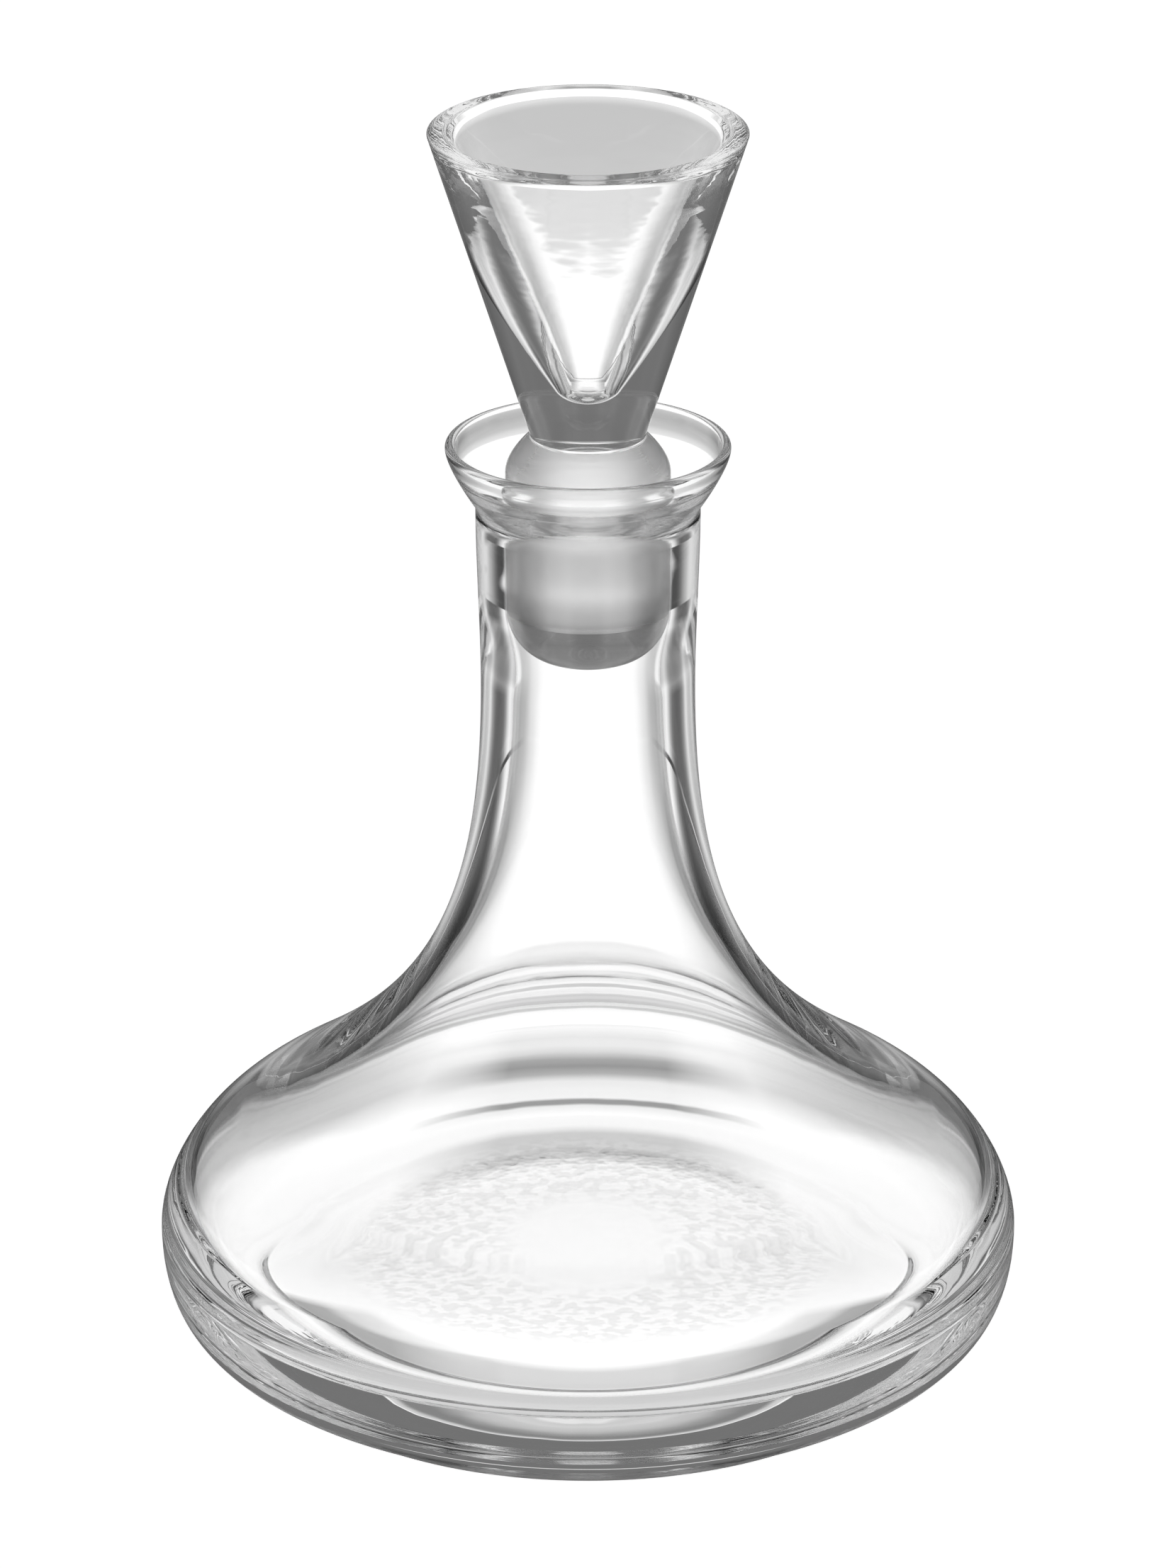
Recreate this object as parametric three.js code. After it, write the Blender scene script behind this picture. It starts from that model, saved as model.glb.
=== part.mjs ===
// Mouthwash decanter with a cup stopper, in clear glass.
// The decanter is one blown piece with a heavy base.
// The stopper is a ground plug whose top is a small dosing cup.
// Millimetres, +Z up. The foot stands on Z = 0 and both pieces are turned about the Z axis.
import * as THREE from "three";

// Decanter, outside
const bellyRadius = 70;
const bellyHeight = 22.2;
const bellyDroop = 16.5;
const bellyRise = 4.5;
const footInset = 16.6;
const footSlope = THREE.MathUtils.degToRad(36);
const footSpread = 9;
const shoulderInset = 12.5;
const shoulderRise = 18.6;
const shoulderSlope = THREE.MathUtils.degToRad(32);
const shoulderSpread = 11;
const neckSweep = 34;
const neckRadius = 17.2;
const neckDepth = 40.5;
const neckFall = 44;
const neckRise = 10;
const collarSwell = 0.75;
const collarDepth = 10.2;
const flareSlope = THREE.MathUtils.degToRad(55);
const flareSpread = 4.1;
const lipFlare = 4.8;
const lipHeight = 157;
const lipThickness = 1.6;

// Decanter, underside and inside
const puntInset = 8.4;
const puntDepth = 2.2;
const floorThickness = 15.1;
const floorRise = 1.9;
const cornerSpread = 14;
const bellyWall = 6;
const cavityLift = 3.8;
const cavityRise = 2;
const cavitySpread = 9.1;
const shoulderWall = 4.75;
const neckWall = 5.2;
const boreFall = 40.5;
const mouthFall = 6;

// Seat for the plug in the neck
const seatWall = 3.7;
const seatDepth = 14;
const seatLength = 11;
const seatTaper = 0.02;
const seatRunout = 6;

// Stopper
const seatClearance = 0.3;
const plugReach = 12.8;
const plugRound = 9.2;
const plugFlat = 5;
const barrelDepth = 5;
const barrelRise = 2.8;
const waistRadius = 9.2;
const waistRise = 1.4;
const cupHeight = 50.1;
const rimRadius = 25.4;
const rimWidth = 2.9;
const rimEdge = 0.45;
const bevelWidth = 1.25;
const bevelDepth = 0.9;
const cupDepth = 42.2;
const cupTipRadius = 3.6;

// Smoothness of the turned faces
const turnSteps = 40;
const curveSteps = 6;

const glass = { color: 0xf2f5f4, roughness: 0.04, metalness: 0, transparent: true, opacity: 0.35 };

// Sizes shared by the two pieces
const collarRadius = neckRadius + collarSwell;
const lipRadius = collarRadius + lipFlare;
const seatTopHeight = lipHeight - seatDepth;
const seatTopRadius = neckRadius - seatWall;
const seatEndHeight = seatTopHeight - seatLength;
const seatEndRadius = seatTopRadius - seatTaper * seatLength;

// Turns an outline of radius and height into a closed solid about Z.
function turned(name, outline) {
  const geometry = new THREE.LatheGeometry(outline.getPoints(curveSteps), turnSteps);
  geometry.rotateX(Math.PI / 2);
  const mesh = new THREE.Mesh(geometry, new THREE.MeshStandardMaterial(glass));
  mesh.name = name;
  return mesh;
}

function decanterBody() {
  const footRadius = bellyRadius - footInset;
  const puntRadius = footRadius - puntInset;
  const shoulder = new THREE.Vector2(bellyRadius - shoulderInset, bellyHeight + shoulderRise);
  const inward = new THREE.Vector2(-Math.cos(shoulderSlope), Math.sin(shoulderSlope));
  const waist = new THREE.Vector2(neckRadius, lipHeight - neckDepth);
  const collar = new THREE.Vector2(collarRadius, lipHeight - collarDepth);
  const lipRound = lipThickness / 2;
  const lipEdge = lipHeight - lipRound;
  const body = new THREE.Path();

  // Underside: a shallow hollow inside the flat ring that the decanter stands on
  body.moveTo(0, puntDepth);
  body.quadraticCurveTo(puntRadius / 2, puntDepth, puntRadius, 0);
  body.lineTo(footRadius, 0);

  // Outside, from the foot round the belly and up the neck to the lip
  body.bezierCurveTo(
    footRadius + footSpread * Math.cos(footSlope), footSpread * Math.sin(footSlope),
    bellyRadius, bellyHeight - bellyDroop,
    bellyRadius, bellyHeight,
  );
  body.bezierCurveTo(
    bellyRadius, bellyHeight + bellyRise,
    shoulder.x - shoulderSpread * inward.x, shoulder.y - shoulderSpread * inward.y,
    shoulder.x, shoulder.y,
  );
  body.bezierCurveTo(
    shoulder.x + neckSweep * inward.x, shoulder.y + neckSweep * inward.y,
    waist.x, waist.y - neckFall,
    waist.x, waist.y,
  );
  body.bezierCurveTo(
    waist.x, waist.y + neckRise,
    collar.x, collar.y - neckRise,
    collar.x, collar.y,
  );
  body.bezierCurveTo(
    collar.x + flareSpread * Math.cos(flareSlope), collar.y + flareSpread * Math.sin(flareSlope),
    lipRadius, lipEdge - lipThickness,
    lipRadius, lipEdge,
  );
  body.absarc(lipRadius - lipRound, lipEdge, lipRound, 0, Math.PI, false);

  // Inside, down the flare, the seat and the bore
  const lipInner = lipRadius - lipThickness;
  body.bezierCurveTo(
    lipInner, lipEdge - mouthFall,
    seatTopRadius, seatTopHeight + mouthFall,
    seatTopRadius, seatTopHeight,
  );
  body.lineTo(seatEndRadius, seatEndHeight);
  const boreRadius = neckRadius - neckWall;
  body.bezierCurveTo(
    seatEndRadius, seatEndHeight - seatRunout,
    boreRadius, waist.y + seatRunout,
    boreRadius, waist.y,
  );

  // Inside, under the shoulder, round the belly and across the floor
  const innerShoulder = shoulder.clone();
  innerShoulder.x -= shoulderWall * inward.y;
  innerShoulder.y += shoulderWall * inward.x;
  const innerBelly = bellyRadius - bellyWall;
  const cavityHeight = bellyHeight + cavityLift;
  body.bezierCurveTo(
    boreRadius, waist.y - boreFall,
    innerShoulder.x + neckSweep * inward.x, innerShoulder.y + neckSweep * inward.y,
    innerShoulder.x, innerShoulder.y,
  );
  body.bezierCurveTo(
    innerShoulder.x - cavitySpread * inward.x, innerShoulder.y - cavitySpread * inward.y,
    innerBelly, cavityHeight + cavityRise,
    innerBelly, cavityHeight,
  );
  const floorRadius = innerBelly - cornerSpread;
  const floorDip = cornerSpread * 2 * floorRise / floorRadius;
  const floorTop = floorThickness + floorRise;
  body.quadraticCurveTo(innerBelly, floorThickness - floorDip, floorRadius, floorThickness);
  body.quadraticCurveTo(floorRadius / 2, floorTop, 0, floorTop);
  return turned("decanter_body", body);
}

function cupStopper() {
  const plugTopRadius = seatTopRadius - seatClearance;
  const plugEndHeight = seatTopHeight - plugReach;
  const plugEndRadius = plugTopRadius - seatTaper * plugReach;
  const barrelHeight = lipHeight - barrelDepth;
  const waist = new THREE.Vector2(waistRadius, lipHeight + waistRise);
  const rimHeight = waist.y + cupHeight;
  const outerRim = new THREE.Vector2(rimRadius, rimHeight);
  const innerRim = new THREE.Vector2(rimRadius - rimWidth, rimHeight);
  const bevel = new THREE.Vector2(innerRim.x - bevelWidth, rimHeight - bevelDepth);
  const tip = new THREE.Vector2(0, rimHeight - cupDepth + cupTipRadius);
  const stopper = new THREE.Path();

  // Ground plug with a rounded end
  stopper.moveTo(0, plugEndHeight - plugRound);
  stopper.lineTo(plugFlat, plugEndHeight - plugRound);
  stopper.absellipse(plugFlat, plugEndHeight, plugEndRadius - plugFlat, plugRound, -Math.PI / 2, 0, false);
  stopper.lineTo(plugTopRadius, seatTopHeight);

  // Barrel and its rounded shoulder, which meets the cup at the waist
  stopper.lineTo(plugTopRadius, barrelHeight);
  stopper.quadraticCurveTo(plugTopRadius, barrelHeight + barrelRise, waist.x, waist.y);

  // Cup: a straight cone outside, a flat rim, a bevel and a wider cone inside with a rounded tip
  const outerRun = outerRim.clone().sub(waist).setLength(rimEdge);
  const innerRun = bevel.clone().sub(tip);
  const innerLean = Math.atan2(innerRun.x, innerRun.y) - Math.asin(cupTipRadius / innerRun.length());
  stopper.lineTo(outerRim.x - outerRun.x, outerRim.y - outerRun.y);
  stopper.quadraticCurveTo(outerRim.x, outerRim.y, outerRim.x - rimEdge, outerRim.y);
  stopper.lineTo(innerRim.x, innerRim.y);
  stopper.lineTo(bevel.x, bevel.y);
  stopper.absarc(tip.x, tip.y, cupTipRadius, -innerLean, -Math.PI / 2, true);
  return turned("cup_stopper", stopper);
}

const decanter = new THREE.Group();
decanter.name = "mouthwash_decanter";
decanter.add(decanterBody());
decanter.add(cupStopper());

export default decanter;
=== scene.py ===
"""Looks of a clear-glass mouthwash decanter with a cup stopper, in metres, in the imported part's frame."""
import functools
import math

import bpy
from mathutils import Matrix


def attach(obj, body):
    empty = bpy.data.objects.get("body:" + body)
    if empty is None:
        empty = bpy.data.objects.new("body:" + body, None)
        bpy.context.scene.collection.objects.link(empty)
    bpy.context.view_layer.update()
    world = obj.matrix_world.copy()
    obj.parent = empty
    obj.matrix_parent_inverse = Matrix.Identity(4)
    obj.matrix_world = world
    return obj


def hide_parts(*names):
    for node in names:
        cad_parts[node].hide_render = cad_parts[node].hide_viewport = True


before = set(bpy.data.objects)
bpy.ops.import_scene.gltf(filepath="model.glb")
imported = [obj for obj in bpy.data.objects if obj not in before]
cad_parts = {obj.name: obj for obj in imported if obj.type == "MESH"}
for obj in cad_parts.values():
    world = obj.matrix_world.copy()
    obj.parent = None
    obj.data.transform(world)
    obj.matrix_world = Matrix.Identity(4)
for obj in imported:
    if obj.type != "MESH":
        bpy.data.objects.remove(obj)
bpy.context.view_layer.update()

# Lengths below are in millimetres
MM = 0.001

# Decanter, outside
BELLY_RADIUS = 70
BELLY_HEIGHT = 22.2
BELLY_DROOP = 16.5
BELLY_RISE = 4.5
FOOT_INSET = 16.6
FOOT_SLOPE = math.radians(36)
FOOT_SPREAD = 9
FOOT_EDGE = 0.8
SHOULDER_INSET = 12.5
SHOULDER_RISE = 18.6
SHOULDER_SLOPE = math.radians(32)
SHOULDER_SPREAD = 11
NECK_SWEEP = 34
NECK_RADIUS = 17.2
NECK_DEPTH = 40.5
NECK_FALL = 44
NECK_RISE = 10
COLLAR_SWELL = 0.75
COLLAR_DEPTH = 10.2
FLARE_SLOPE = math.radians(55)
FLARE_SPREAD = 4.1
LIP_FLARE = 4.8
LIP_HEIGHT = 157
LIP_THICKNESS = 1.6

# Decanter, underside and inside
PUNT_INSET = 8.4
PUNT_DEPTH = 2.2
FLOOR_THICKNESS = 15.1
FLOOR_RISE = 1.9
CORNER_SPREAD = 14
BELLY_WALL = 6
CAVITY_LIFT = 3.8
CAVITY_RISE = 2
CAVITY_SPREAD = 9.1
SHOULDER_WALL = 4.75
NECK_WALL = 5.2
BORE_FALL = 40.5
MOUTH_FALL = 6
MOUTH_POLISH = 2

# Seat for the plug in the neck
SEAT_WALL = 3.7
SEAT_DEPTH = 14
SEAT_LENGTH = 11
SEAT_TAPER = 0.02
SEAT_RUNOUT = 6

# Stopper
SEAT_CLEARANCE = 0.3
PLUG_REACH = 12.8
PLUG_ROUND = 9.2
PLUG_FLAT = 5
BARREL_DEPTH = 5
BARREL_RISE = 2.8
BARREL_POLISH = 5
WAIST_RADIUS = 9.2
WAIST_RISE = 1.4
WAIST_RUN = 1
CUP_HEIGHT = 50.1
RIM_RADIUS = 25.4
RIM_WIDTH = 2.9
RIM_EDGE = 0.45
BEVEL_WIDTH = 1.25
BEVEL_DEPTH = 0.9
CUP_DEPTH = 42.2
CUP_TIP_RADIUS = 3.6

# Top of the seat, from which the plug takes its size and place
SEAT_TOP_RADIUS = NECK_RADIUS - SEAT_WALL
SEAT_TOP_HEIGHT = LIP_HEIGHT - SEAT_DEPTH

# Ways in a section, of radius and height
UP = (0, 1)
DOWN = (0, -1)
INWARD = (-1, 0)

# Turning: points nearer than this are one, and the section is swept round a thin hub
SAME_POINT = 0.0001
HUB_RADIUS = 1
WELD_DISTANCE = 0.001
DECANTER_TURN_STEPS = 224
STOPPER_TURN_STEPS = 192

# Finish of the glass: how far a face is ground
POLISHED = 0.0
SATIN = 0.15
GROUND = 1.0

# Glass and its unevenness, with patterns in cells to the metre along X, Y and Z
GLASS_IOR = 1.5
GROUND_ROUGHNESS = 0.45
GROUND_GRAIN = 0.25
SCRATCH_DEPTH = 0.01
SCRATCH_DETAIL = 3
DECANTER_SCRATCHES = (1400, 1400, 160)
STOPPER_SCRATCHES = (120, 120, 2600)
WAVE_DEPTH = 0.03
WAVE_DETAIL = 2
DECANTER_WAVES = (70, 70, 50)
STOPPER_WAVES = (90, 90, 260)

# Pebbles on the floor of the belly: a ring by distance from the axis, and how much they dull the glass
PEBBLE_DEPTH = 0.1
PEBBLE_DETAIL = 1
PEBBLE_SCALE = 430
PEBBLE_RING = ((11, 0), (17, 1), (33, 1), (40, 0))
PEBBLE_BLOOM = ((0.47, 0), (0.55, 0.19))
PEBBLES_BELOW = 1.51
PEBBLES_ABOVE = 0.85

# Table: plain and pale to the camera. Through the glass it glows with painted light and painted shade: bright
# and dim sectors and rings, which stay in place whatever the view. Each list pairs places with a brightness,
# or with a share of it. A place is a distance from the axis, or an angle in radians from the nearest of a few
# ways, the first straight back.
TABLE_SIZE = 4000
TABLE_DROP = 0.5
TABLE_GLOW = 0.89
TABLE_GREY = 0.85
TABLE_LEVEL = 1.28
FRONT_BACK_STEP = math.pi

# Table, straight through the glass, painted light and shade: bright sectors on four ways and dim between, the
# corners between them, painted shade in some back corners, and leaning rings
STRAIGHT_STEP = math.pi / 2
STRAIGHT_SECTORS = (
    (0.19, 1), (0.24, 0.89), (0.28, 0.76), (0.337, 0.6), (0.418, 0.41), (0.53, 0.3), (0.785, 0.28),
)
STRAIGHT_SECTOR_SHARE = (
    (75, 0), (95, 0.6), (160, 0.65), (180, 0.8), (210, 0.7), (250, 0.7), (290, 0.95), (310, 1),
)
CORNER_SECTORS = ((0.53, 0), (0.64, 0.85), (0.7, 1))
# Painted shade in some back corners, by distance from the axis
PAINTED_CORNER_SHADE = ((80, 0), (88, 0.65), (120, 0.65), (140, 0), (255, 0), (270, 0.65), (420, 0.65), (500, 0))
STRAIGHT_RINGS = (
    (30, 1), (50, 0.98), (369, 0.95), (373, 0.82), (378, 0.69), (386, 0.66),
    (440, 0.6), (510, 0.5), (550, 0.47), (800, 0.42), (1600, 0.3),
)
RING_LEAN = 0.47
RING_LEAN_REACH = 0.2

# Table, painted shadow of the neck and stopper and painted shade under the foot: dim bands on a strip before
# and behind the decanter, and a dim ring of painted shade beside that strip in front
PAINTED_SHADOW_BANDS = (
    (40, 1), (43, 0.64), (52, 0.62), (55, 0.94), (62, 1), (67.5, 0.8), (69, 0.3), (71.5, 0.3),
    (73, 0.85), (84, 0.75), (89, 0.4), (95, 0.27), (101, 0.34), (107, 0.6), (113, 0.74), (124, 0.79),
    (137, 0.86), (149, 0.82), (155, 1),
)
PAINTED_SHADOW_STRIP = ((16, 1), (34, 0))
# Painted shade: a dim ring in front, beside the strip
PAINTED_FRONT_SHADE = ((35, 1), (38, 0.78), (42.5, 0.68), (46, 0.4), (52.5, 0.36), (57.5, 0.8), (60, 1))
PAINTED_FRONT_SHADE_SIDES = ((14, 0), (34, 1))
PAINTED_FRONT_SHADE_FORWARD = ((8, 0), (14, 1))

# Table, by reflection, painted light and shade: sectors on five ways, rings, and a leaning ring with its own
# sectors of painted light and shade for the plug
TURNED_STEP = math.tau / 5
TURNED_SECTORS = (
    (0, 0.6), (0.1, 0.66), (0.19, 0.8), (0.24, 0.66), (0.344, 0.27), (0.42, 0.12), (0.5, 0.06), (0.63, 0.05),
)
TURNED_SECTOR_SHARE = ((80, 0), (110, 0.85), (250, 0.85), (300, 1))
TURNED_RINGS = (
    (50, 0.55), (90, 0.5), (105, 0.25), (113, 0.3), (120, 0.5), (130, 0.65), (150, 0.75),
    (190, 0.7), (210, 0.7), (250, 0.95), (480, 1), (800, 0.6), (1600, 0.3),
)
PLUG_RING = ((393, 0), (397, 1), (405, 1), (408, 0))
PLUG_RING_LEAN = 26
PLUG_SECTORS = (
    (0.1, 0.75), (0.42, 0.6), (0.56, 0.36), (0.685, 0.2), (0.8, 0.11), (0.9, 0.06), (1.05, 0.05), (1.2, 0.3),
)
OUTER_GLINT = 0.2

# Light trapped in the glass: painted light on the table in a bright patch near by and a bright far table, and
# a bright ceiling, by how far its direction points up and back. The rest of the room is dim.
TRAPPED_NEAR = ((85, 0), (95, 0.88), (165, 0.88), (180, 0))
TRAPPED_NEAR_SECTORS = ((0.3, 1), (0.42, 0))
TRAPPED_FAR = ((330, 0), (390, 0.7))
CEILING_RISE = ((0.17, 0), (0.25, 0.85), (0.66, 0.85), (0.76, 0.2), (1, 0.1))
CEILING_BACK = ((0, 0), (0.35, 1))
ROOM_LEVEL = 0.17

# A ray's count of reflections or of passes through glass is a whole number, so it is compared halfway
NONE_AT_ALL = 0.5
NO_MORE_THAN_THREE = 3.5
BOUNCES = 32

# Photograph: the camera stands this far from a point on the axis and looks down at it
PHOTO_SIZE = (1659, 2212)
FOCAL_PIXELS = 12306
SENSOR_WIDTH = 36
CAMERA_DISTANCE = 1405.8
CAMERA_ELEVATION = math.radians(21.67)
TARGET_HEIGHT = 98.6


class Outline:
    """Half of a turned piece's section, drawn as a pen would: points of radius and height.

    The pen has a finish, from POLISHED to GROUND, and each point keeps the one that it was drawn with.
    """

    def __init__(self, start):
        self.points = [start]
        self.finishes = [POLISHED]
        self.finish = POLISHED

    def add(self, point):
        if math.dist(point, self.points[-1]) > SAME_POINT:
            self.points.append(point)
            self.finishes.append(self.finish)

    def line(self, end, steps):
        start = self.points[-1]
        for i in range(1, steps + 1):
            self.add(tuple(s + (e - s) * i / steps for s, e in zip(start, end)))

    def bend(self, handle_a, handle_b, end, steps):
        """A cubic curve with two handles."""
        corners = (self.points[-1], handle_a, handle_b, end)
        for i in range(1, steps + 1):
            t = i / steps
            u = 1 - t
            weights = (u ** 3, 3 * t * u * u, 3 * t * t * u, t ** 3)
            self.add(tuple(sum(w * c[k] for w, c in zip(weights, corners)) for k in (0, 1)))

    def round(self, corner, end, steps):
        """A quadratic curve about a corner: its cubic handles lie two thirds of the way to the corner."""
        start = self.points[-1]
        handle_a = tuple(s + (c - s) * 2 / 3 for s, c in zip(start, corner))
        handle_b = tuple(e + (c - e) * 2 / 3 for e, c in zip(end, corner))
        self.bend(handle_a, handle_b, end, steps)

    def arc(self, centre, radii, start, end, steps):
        """An elliptical arc between two angles, joined to the last point by a straight line."""
        for i in range(steps + 1):
            angle = start + (end - start) * i / steps
            self.add((centre[0] + radii[0] * math.cos(angle), centre[1] + radii[1] * math.sin(angle)))


def along(point, direction, length):
    """The point that lies this far from another one."""
    return (point[0] + direction[0] * length, point[1] + direction[1] * length)


def decanter_outline():
    """The decanter's section: its underside, its outside up to the lip, and its inside down to the floor."""
    foot = (BELLY_RADIUS - FOOT_INSET, 0)
    foot_run = (math.cos(FOOT_SLOPE), math.sin(FOOT_SLOPE))
    punt_radius = foot[0] - PUNT_INSET
    belly = (BELLY_RADIUS, BELLY_HEIGHT)
    shoulder = (BELLY_RADIUS - SHOULDER_INSET, BELLY_HEIGHT + SHOULDER_RISE)
    inward = (-math.cos(SHOULDER_SLOPE), math.sin(SHOULDER_SLOPE))
    neck = (NECK_RADIUS, LIP_HEIGHT - NECK_DEPTH)
    collar = (NECK_RADIUS + COLLAR_SWELL, LIP_HEIGHT - COLLAR_DEPTH)
    flare_run = (math.cos(FLARE_SLOPE), math.sin(FLARE_SLOPE))
    lip_radius = collar[0] + LIP_FLARE
    lip_round = LIP_THICKNESS / 2
    lip_edge = LIP_HEIGHT - lip_round
    inner_lip = lip_radius - LIP_THICKNESS
    seat_top = (SEAT_TOP_RADIUS, SEAT_TOP_HEIGHT)
    seat_end = (SEAT_TOP_RADIUS - SEAT_TAPER * SEAT_LENGTH, SEAT_TOP_HEIGHT - SEAT_LENGTH)
    bore = (NECK_RADIUS - NECK_WALL, neck[1])
    inner_shoulder = along(shoulder, (-inward[1], inward[0]), SHOULDER_WALL)
    cavity = (BELLY_RADIUS - BELLY_WALL, BELLY_HEIGHT + CAVITY_LIFT)
    floor_edge = (cavity[0] - CORNER_SPREAD, FLOOR_THICKNESS)
    floor_dip = CORNER_SPREAD * 2 * FLOOR_RISE / floor_edge[0]
    floor_top = FLOOR_THICKNESS + FLOOR_RISE

    # Underside: a shallow hollow inside the flat ring that the decanter stands on
    outline = Outline((0, PUNT_DEPTH))
    outline.round((punt_radius / 2, PUNT_DEPTH), (punt_radius, 0), steps=24)
    outline.line((foot[0] - FOOT_EDGE, 0), steps=6)
    outline.round(foot, along(foot, foot_run, FOOT_EDGE), steps=6)

    # Outside, from the foot round the belly and up the neck to the lip
    outline.bend(along(foot, foot_run, FOOT_SPREAD), along(belly, DOWN, BELLY_DROOP), belly, steps=34)
    outline.bend(along(belly, UP, BELLY_RISE), along(shoulder, inward, -SHOULDER_SPREAD), shoulder, steps=30)
    outline.bend(along(shoulder, inward, NECK_SWEEP), along(neck, DOWN, NECK_FALL), neck, steps=56)
    outline.bend(along(neck, UP, NECK_RISE), along(collar, DOWN, NECK_RISE), collar, steps=22)
    outline.bend(along(collar, flare_run, FLARE_SPREAD), (lip_radius, lip_edge - LIP_THICKNESS),
                 (lip_radius, lip_edge), steps=22)
    outline.arc((lip_radius - lip_round, lip_edge), (lip_round, lip_round), 0, math.pi, steps=14)

    # Inside, down the mouth, which is satin below its polished lip, and down the polished seat and bore
    outline.line((inner_lip, LIP_HEIGHT - MOUTH_POLISH), steps=2)
    outline.finish = SATIN
    outline.bend((inner_lip, lip_edge - MOUTH_FALL), along(seat_top, UP, MOUTH_FALL), seat_top, steps=24)
    outline.finish = POLISHED
    outline.line(seat_end, steps=12)
    outline.bend(along(seat_end, DOWN, SEAT_RUNOUT), along(bore, UP, SEAT_RUNOUT), bore, steps=14)

    # Inside, under the shoulder, round the belly and across the floor
    outline.bend(along(bore, DOWN, BORE_FALL), along(inner_shoulder, inward, NECK_SWEEP),
                 inner_shoulder, steps=56)
    outline.bend(along(inner_shoulder, inward, -CAVITY_SPREAD), along(cavity, UP, CAVITY_RISE),
                 cavity, steps=30)
    outline.round((cavity[0], FLOOR_THICKNESS - floor_dip), floor_edge, steps=30)
    outline.round((floor_edge[0] / 2, floor_top), (0, floor_top), steps=30)
    return outline


def stopper_outline():
    """The stopper's section, from the end of the plug up to the rim and down inside the cup."""
    plug_radius = SEAT_TOP_RADIUS - SEAT_CLEARANCE
    plug_end = (plug_radius - SEAT_TAPER * PLUG_REACH, SEAT_TOP_HEIGHT - PLUG_REACH)
    barrel_height = LIP_HEIGHT - BARREL_DEPTH
    waist = (WAIST_RADIUS, LIP_HEIGHT + WAIST_RISE)
    outer_rim = (RIM_RADIUS, waist[1] + CUP_HEIGHT)
    inner_rim = (RIM_RADIUS - RIM_WIDTH, outer_rim[1])
    bevel = (inner_rim[0] - BEVEL_WIDTH, inner_rim[1] - BEVEL_DEPTH)
    tip = (0, outer_rim[1] - CUP_DEPTH + CUP_TIP_RADIUS)
    outer_lean = math.atan2(outer_rim[0] - waist[0], outer_rim[1] - waist[1])
    upward = (math.sin(outer_lean), math.cos(outer_lean))
    inner_run = (bevel[0] - tip[0], bevel[1] - tip[1])
    inner_lean = math.atan2(*inner_run) - math.asin(CUP_TIP_RADIUS / math.hypot(*inner_run))
    tip_side = along(tip, (math.cos(inner_lean), -math.sin(inner_lean)), CUP_TIP_RADIUS)

    # Plug: a polished rounded end and a ground side, which runs on over the foot of the barrel
    outline = Outline((0, plug_end[1] - PLUG_ROUND))
    outline.line((PLUG_FLAT, plug_end[1] - PLUG_ROUND), steps=8)
    outline.arc((PLUG_FLAT, plug_end[1]), (plug_end[0] - PLUG_FLAT, PLUG_ROUND), -math.pi / 2, 0, steps=24)
    outline.finish = GROUND
    outline.line((plug_radius, SEAT_TOP_HEIGHT), steps=20)
    outline.line((plug_radius, barrel_height - BARREL_POLISH), steps=6)

    # Barrel, polished above its foot, and its rounded shoulder
    outline.finish = POLISHED
    outline.line((plug_radius, barrel_height), steps=4)
    outline.round((plug_radius, barrel_height + BARREL_RISE), waist, steps=20)

    # Cup: a straight cone outside, a flat rim, a bevel and a wider cone inside with a rounded tip
    outline.line(along(waist, upward, WAIST_RUN), steps=4)
    outline.line(along(outer_rim, upward, -RIM_EDGE), steps=30)
    outline.round(outer_rim, along(outer_rim, INWARD, RIM_EDGE), steps=6)
    outline.line(inner_rim, steps=6)
    outline.line(bevel, steps=4)
    outline.line(tip_side, steps=30)
    outline.arc(tip, (CUP_TIP_RADIUS, CUP_TIP_RADIUS), -inner_lean, -math.pi / 2, steps=14)
    return outline


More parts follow.
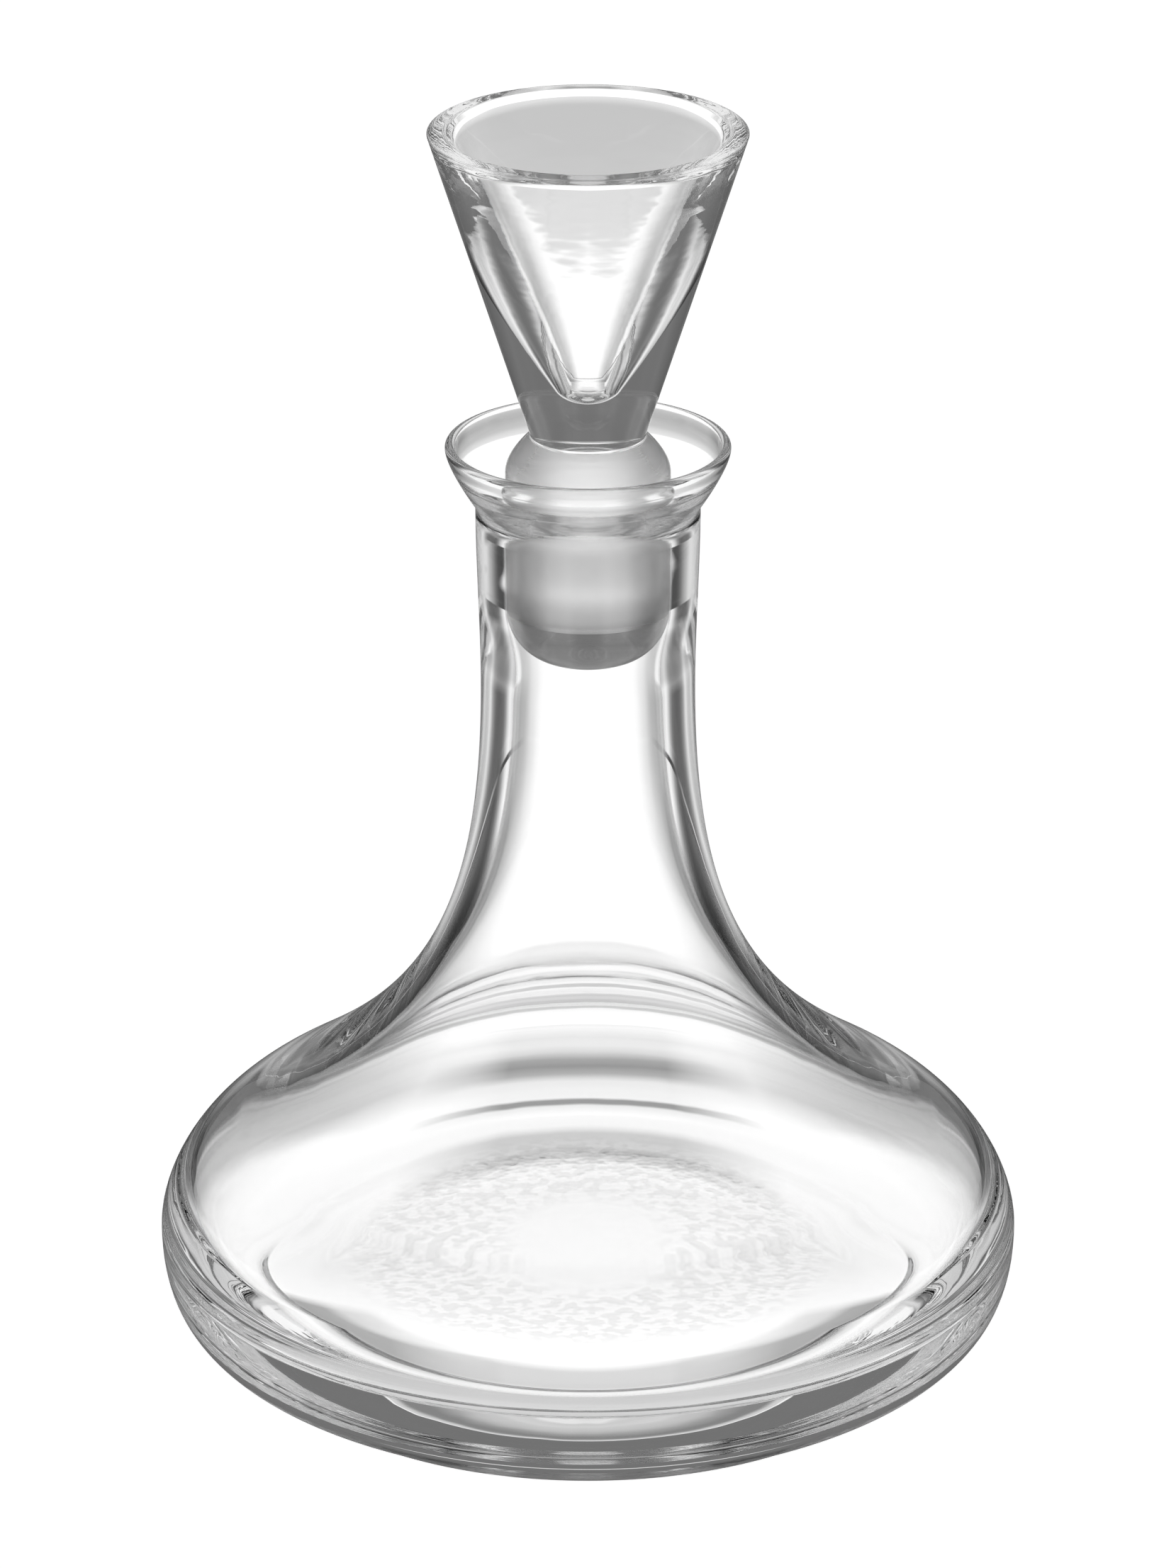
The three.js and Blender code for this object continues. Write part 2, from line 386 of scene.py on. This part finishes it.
class Wiring:
    """A node tree, with short ways to add nodes to it and to work out values in it."""

    def __init__(self, tree):
        self.tree = tree

    def add(self, kind, inputs=(), **properties):
        """Adds a node, sets its properties and fills its inputs with sockets or plain values."""
        node = self.tree.nodes.new(kind)
        for name, value in properties.items():
            setattr(node, name, value)
        for key, value in dict(inputs).items():
            if isinstance(value, bpy.types.NodeSocket):
                self.join(value, node.inputs[key])
            else:
                node.inputs[key].default_value = value
        return node

    def join(self, source, target):
        self.tree.links.new(source, target)

    def value(self, operation, *inputs):
        return self.add("ShaderNodeMath", dict(enumerate(inputs)), operation=operation).outputs["Value"]

    def plus(self, first, second):
        return self.value("ADD", first, second)

    def minus(self, first, second):
        return self.value("SUBTRACT", first, second)

    def times(self, *factors):
        return functools.reduce(functools.partial(self.value, "MULTIPLY"), factors)

    def above(self, value, limit):
        """1 where the value is above the limit, 0 elsewhere."""
        return self.value("GREATER_THAN", value, limit)

    def blend(self, first, second, share):
        """The first where the share is 0, the second where it is 1."""
        return self.plus(self.times(first, self.minus(1, share)), self.times(second, share))

    def ramp(self, place, stops, unit=1):
        """A grey that runs straight from stop to stop. The unit is that of the stops' places."""
        low = stops[0][0] * unit
        high = stops[-1][0] * unit
        span = self.add("ShaderNodeMapRange", {"Value": place, "From Min": low, "From Max": high})
        ramp = self.add("ShaderNodeValToRGB", {"Fac": span.outputs["Result"]})
        points = ramp.color_ramp.elements
        halfway = 0.5
        while len(points) < len(stops):
            points.new(halfway)
        for point, (at, grey) in zip(points, stops):
            point.position = (at * unit - low) / (high - low)
            point.color = (grey, grey, grey, 1)
        return ramp.outputs["Color"]

    def place(self):
        """Object coordinates."""
        return self.add("ShaderNodeTexCoord").outputs["Object"]

    def stretched_place(self, stretch):
        stretched = self.add("ShaderNodeVectorMath", {0: self.place(), 1: stretch}, operation="MULTIPLY")
        return stretched.outputs["Vector"]

    def axes(self, vector):
        return self.add("ShaderNodeSeparateXYZ", {"Vector": vector}).outputs

    def from_axis(self, axes):
        """Distance from the Z axis."""
        squares = self.plus(self.times(axes["X"], axes["X"]), self.times(axes["Y"], axes["Y"]))
        return self.value("SQRT", squares)

    def noise(self, place, detail, scale=1):
        noise = self.add("ShaderNodeTexNoise", {"Vector": place, "Scale": scale, "Detail": detail})
        return noise.outputs["Fac"]

    def bump(self, height, depth, **under):
        """The normal of a face bent by a height from 0 to 1, over the normal that it may be given."""
        inputs = {"Height": height, "Distance": depth * MM, "Strength": 1, **under}
        return self.add("ShaderNodeBump", inputs).outputs["Normal"]


def node_group(name, kind, inputs, outputs):
    """An empty node group with its sockets: its wiring, what it is given and what it puts out."""
    group = bpy.data.node_groups.new(name, kind)
    for way, sockets in (("INPUT", inputs), ("OUTPUT", outputs)):
        for label, socket in sockets.items():
            group.interface.new_socket(label, in_out=way, socket_type="NodeSocket" + socket)
    nodes = Wiring(group)
    given = nodes.add("NodeGroupInput").outputs
    made = nodes.add("NodeGroupOutput").inputs
    return nodes, given, made


def turning_lathe():
    """Geometry Nodes tree that sweeps a section round a hub on Z, welds its poles and gives it a material."""
    inputs = {
        "Section": "Geometry",
        "Turn Steps": "Int",
        "Hub Radius": "Float",
        "Weld Distance": "Float",
        "Glass": "Material",
    }
    nodes, given, made = node_group("Turning Lathe", "GeometryNodeTree", inputs, {"Turned Piece": "Geometry"})
    circle = {"Resolution": given["Turn Steps"], "Radius": given["Hub Radius"]}
    hub = nodes.add("GeometryNodeCurvePrimitiveCircle", circle, mode="RADIUS").outputs["Curve"]
    section = nodes.add("GeometryNodeMeshToCurve", {"Mesh": given["Section"]}).outputs["Curve"]
    swept = nodes.add("GeometryNodeCurveToMesh", {"Curve": hub, "Profile Curve": section}).outputs["Mesh"]
    poles = {"Geometry": swept, "Distance": given["Weld Distance"]}
    welded = nodes.add("GeometryNodeMergeByDistance", poles).outputs["Geometry"]
    smooth = nodes.add("GeometryNodeSetShadeSmooth", {"Geometry": welded}).outputs["Geometry"]
    real = nodes.add("GeometryNodeRealizeInstances", {"Geometry": smooth}).outputs["Geometry"]
    glazed = nodes.add("GeometryNodeSetMaterial", {"Geometry": real, "Material": given["Glass"]})
    nodes.join(glazed.outputs["Geometry"], made["Turned Piece"])
    return nodes.tree


def turned_piece(name, outline, lathe, steps, glass):
    """Turns a section on the lathe tree and keeps the result as a plain mesh."""
    section = bpy.data.meshes.new(name + "_section")
    corners = [((r - HUB_RADIUS) * MM, -z * MM, 0) for r, z in reversed(outline.points)]
    section.from_pydata(corners, [(i, i + 1) for i in range(len(corners) - 1)], [])
    finish = section.attributes.new("finish", "FLOAT", "POINT")
    finish.data.foreach_set("value", outline.finishes[::-1])
    piece = bpy.data.objects.new(name, section)
    bpy.context.scene.collection.objects.link(piece)
    modifier = piece.modifiers.new("Lathe", "NODES")
    modifier.node_group = lathe
    values = {
        "Turn Steps": steps,
        "Hub Radius": HUB_RADIUS * MM,
        "Weld Distance": WELD_DISTANCE * MM,
        "Glass": glass,
    }
    for item in lathe.interface.items_tree:
        if item.name in values:
            modifier[item.identifier] = values[item.name]
    evaluated = piece.evaluated_get(bpy.context.evaluated_depsgraph_get())
    mesh = bpy.data.meshes.new_from_object(evaluated)
    piece.modifiers.clear()
    piece.data = mesh
    mesh.name = name
    bpy.data.meshes.remove(section)
    return piece


def ground_face():
    """Roughness and scratches of ground glass, as far as its finish goes. Stretch lays the scratches."""
    nodes, given, made = node_group("Ground Face", "ShaderNodeTree",
                                    {"Finish": "Float", "Stretch": "Vector"},
                                    {"Roughness": "Float", "Height": "Float"})
    grit = nodes.noise(nodes.stretched_place(given["Stretch"]), SCRATCH_DETAIL)
    grain = nodes.value("MULTIPLY_ADD", grit, GROUND_GRAIN, GROUND_ROUGHNESS)
    nodes.join(nodes.times(given["Finish"], grain), made["Roughness"])
    nodes.join(nodes.times(given["Finish"], grit), made["Height"])
    return nodes.tree


def blown_waviness():
    """Gentle unevenness that blowing and turning leave on the glass."""
    nodes, given, made = node_group("Blown Waviness", "ShaderNodeTree",
                                    {"Stretch": "Vector"}, {"Height": "Float"})
    nodes.join(nodes.noise(nodes.stretched_place(given["Stretch"]), WAVE_DETAIL), made["Height"])
    return nodes.tree


def clear_glass(name, ground, waviness, waves, scratches):
    """Clear glass: its material, wiring and shader inputs, and the normal of its waves and scratches."""
    glass = bpy.data.materials.new(name)
    glass.use_nodes = True
    nodes = Wiring(glass.node_tree)
    into = glass.node_tree.nodes["Principled BSDF"].inputs
    into["Base Color"].default_value = (1, 1, 1, 1)
    into["Transmission Weight"].default_value = 1
    into["IOR"].default_value = GLASS_IOR
    finish = nodes.add("ShaderNodeAttribute", attribute_name="finish").outputs["Fac"]
    face = nodes.add("ShaderNodeGroup", {"Finish": finish, "Stretch": scratches}, node_tree=ground).outputs
    wave = nodes.add("ShaderNodeGroup", {"Stretch": waves}, node_tree=waviness).outputs
    nodes.join(face["Roughness"], into["Roughness"])
    waved = nodes.bump(wave["Height"], WAVE_DEPTH)
    scratched = nodes.bump(face["Height"], SCRATCH_DEPTH, Normal=waved)
    return glass, nodes, into, scratched


def decanter_material(ground, waviness):
    """The decanter's glass, pebbled on the floor of its belly."""
    glass, nodes, into, normal = clear_glass("decanter_glass", ground, waviness,
                                             DECANTER_WAVES, DECANTER_SCRATCHES)
    place = nodes.place()
    axes = nodes.axes(place)
    lowest = (FLOOR_THICKNESS - PEBBLES_BELOW) * MM
    highest = (FLOOR_THICKNESS + FLOOR_RISE + PEBBLES_ABOVE) * MM
    on_floor = nodes.times(nodes.above(axes["Z"], lowest), nodes.value("LESS_THAN", axes["Z"], highest))
    ring = nodes.times(nodes.ramp(nodes.from_axis(axes), PEBBLE_RING, MM), on_floor)
    pebbles = nodes.noise(place, PEBBLE_DETAIL, PEBBLE_SCALE)
    bloom = nodes.times(ring, nodes.ramp(pebbles, PEBBLE_BLOOM))
    nodes.join(nodes.minus(1, bloom), into["Base Color"])
    nodes.join(nodes.bump(nodes.times(pebbles, ring), PEBBLE_DEPTH, Normal=normal), into["Normal"])
    return glass


def stopper_material(ground, waviness):
    """The stopper's glass, ground where its finish says."""
    glass, nodes, into, normal = clear_glass("stopper_glass", ground, waviness,
                                             STOPPER_WAVES, STOPPER_SCRATCHES)
    nodes.join(normal, into["Normal"])
    return glass


class TableLight(Wiring):
    """The table's painted light and shade where a ray meets it, by the place and by the ray's way through the
    glass.
    """

    def __init__(self, tree):
        super().__init__(tree)
        axes = self.axes(self.place())
        self.across = self.value("ABSOLUTE", axes["X"])
        self.back = axes["Y"]
        self.radius = self.from_axis(axes)
        self.azimuth = self.plus(self.value("ARCTAN2", axes["X"], axes["Y"]), math.tau)
        self.path = self.add("ShaderNodeLightPath").outputs

    def from_way(self, step):
        """Angle from the nearest of the ways that lie a step apart."""
        return self.value("PINGPONG", self.azimuth, step / 2)

    def rings(self, stops):
        return self.ramp(self.radius, stops, MM)

    def painted_shadow_bands(self):
        """Painted shadow bands and the painted shade of the front ring, which show in the belly."""
        bands = self.blend(1, self.rings(PAINTED_SHADOW_BANDS), self.ramp(self.across, PAINTED_SHADOW_STRIP, MM))
        forward = self.ramp(self.times(self.back, -1), PAINTED_FRONT_SHADE_FORWARD, MM)
        sides = self.times(self.ramp(self.across, PAINTED_FRONT_SHADE_SIDES, MM), forward)
        return self.times(bands, self.blend(1, self.rings(PAINTED_FRONT_SHADE), sides))

    def straight(self):
        """The table's painted light and shade as it shows straight through the glass, with painted shade in
        some of its back corners.
        """
        angle = self.from_way(STRAIGHT_STEP)
        # Painted shade that dims some back corners
        corner_shade = self.times(self.above(self.back, 0), self.rings(PAINTED_CORNER_SHADE))
        corners = self.times(self.ramp(angle, CORNER_SECTORS), self.minus(1, corner_shade))
        sectors = self.value("MAXIMUM", self.ramp(angle, STRAIGHT_SECTORS), corners)
        lean = self.times(RING_LEAN, self.value("MINIMUM", angle, RING_LEAN_REACH))
        rings = self.ramp(self.times(self.radius, self.plus(1, lean)), STRAIGHT_RINGS, MM)
        shared = self.blend(1, sectors, self.rings(STRAIGHT_SECTOR_SHARE))
        return self.times(self.painted_shadow_bands(), rings, shared)

    def turned_back(self):
        """The table's painted light and shade as it shows by reflection, fainter where only the outer face
        reflects it.
        """
        angle = self.from_way(FRONT_BACK_STEP)
        leaning = self.plus(self.radius, self.times(PLUG_RING_LEAN * MM, angle))
        turned = self.ramp(self.from_way(TURNED_STEP), TURNED_SECTORS)
        sectors = self.blend(turned, self.ramp(angle, PLUG_SECTORS), self.ramp(leaning, PLUG_RING, MM))
        shared = self.blend(1, sectors, self.rings(TURNED_SECTOR_SHARE))
        inside = self.above(self.path["Transmission Depth"], NONE_AT_ALL)
        strength = self.value("MAXIMUM", inside, OUTER_GLINT)
        return self.times(self.rings(TURNED_RINGS), strength, shared)

    def trapped(self):
        """The painted bright patch and far table that light sees when it has been reflected more than three
        times.
        """
        sectors = self.ramp(self.from_way(FRONT_BACK_STEP), TRAPPED_NEAR_SECTORS)
        near = self.times(self.rings(TRAPPED_NEAR), sectors)
        bright = self.value("MAXIMUM", near, self.rings(TRAPPED_FAR))
        return self.times(self.above(self.path["Glossy Depth"], NO_MORE_THAN_THREE), bright)

    def level(self):
        """Strength of the table's glow, plain to the camera."""
        reflected = self.above(self.path["Glossy Depth"], NONE_AT_ALL)
        either = self.blend(self.straight(), self.turned_back(), reflected)
        shown = self.times(TABLE_LEVEL, self.value("MAXIMUM", either, self.trapped()))
        return self.blend(shown, TABLE_GLOW, self.path["Is Camera Ray"])


def pale_floor():
    """A pale table that glows, with painted light and shade where it is seen through the glass. To the camera
    it is evenly pale, and also matt paper in the light of the room.
    """
    bpy.ops.mesh.primitive_plane_add(size=TABLE_SIZE * MM, location=(0, 0, -TABLE_DROP * MM))
    floor = bpy.context.object
    floor.name = "pale_floor"
    paper = bpy.data.materials.new("pale_paper")
    paper.use_nodes = True
    paper.node_tree.nodes.clear()
    light = TableLight(paper.node_tree)
    glow = light.add("ShaderNodeEmission", {"Strength": light.level()}).outputs["Emission"]
    grey = light.times(TABLE_GREY, light.path["Is Camera Ray"])
    matt = light.add("ShaderNodeBsdfDiffuse", {"Color": grey}).outputs["BSDF"]
    both = light.add("ShaderNodeAddShader", {0: glow, 1: matt}).outputs["Shader"]
    light.add("ShaderNodeOutputMaterial", {"Surface": both})
    floor.data.materials.append(paper)


def studio_light():
    """A dim room, white to the camera. Light that is trapped in the glass sees its bright ceiling."""
    world = bpy.context.scene.world or bpy.data.worlds.new("studio")
    bpy.context.scene.world = world
    world.use_nodes = True
    world.node_tree.nodes.clear()
    nodes = Wiring(world.node_tree)
    path = nodes.add("ShaderNodeLightPath").outputs
    way = nodes.axes(nodes.add("ShaderNodeTexCoord").outputs["Generated"])
    ceiling = nodes.times(nodes.ramp(way["Z"], CEILING_RISE), nodes.ramp(way["Y"], CEILING_BACK))
    trapped = nodes.above(path["Glossy Depth"], NO_MORE_THAN_THREE)
    room = nodes.value("MULTIPLY_ADD", ceiling, trapped, ROOM_LEVEL)
    level = nodes.value("MAXIMUM", room, path["Is Camera Ray"])
    sky = nodes.add("ShaderNodeBackground", {"Color": (1, 1, 1, 1), "Strength": level}).outputs["Background"]
    nodes.add("ShaderNodeOutputWorld", {"Surface": sky})


def photo_camera():
    lens = bpy.data.cameras.new("photo_camera")
    lens.sensor_width = SENSOR_WIDTH
    lens.lens = SENSOR_WIDTH * FOCAL_PIXELS / max(PHOTO_SIZE)
    camera = bpy.data.objects.new("photo_camera", lens)
    bpy.context.scene.collection.objects.link(camera)
    reach = CAMERA_DISTANCE * MM
    camera.location = (0, -reach * math.cos(CAMERA_ELEVATION),
                       TARGET_HEIGHT * MM + reach * math.sin(CAMERA_ELEVATION))
    camera.rotation_euler = (math.pi / 2 - CAMERA_ELEVATION, 0, 0)
    bpy.context.scene.camera = camera


def make():
    photo_camera()
    ground = ground_face()
    waviness = blown_waviness()
    lathe = turning_lathe()
    decanter_glass = decanter_material(ground, waviness)
    stopper_glass = stopper_material(ground, waviness)
    body = turned_piece("decanter_glass", decanter_outline(), lathe, DECANTER_TURN_STEPS, decanter_glass)
    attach(body, "decanter")
    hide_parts("decanter_body")
    stopper = turned_piece("cup_stopper_glass", stopper_outline(), lathe, STOPPER_TURN_STEPS, stopper_glass)
    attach(stopper, "stopper")
    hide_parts("cup_stopper")
    pale_floor()
    studio_light()
    scene = bpy.context.scene
    scene.view_settings.view_transform = "Standard"
    scene.cycles.max_bounces = BOUNCES
    scene.cycles.transmission_bounces = BOUNCES
    scene.cycles.glossy_bounces = BOUNCES


make()
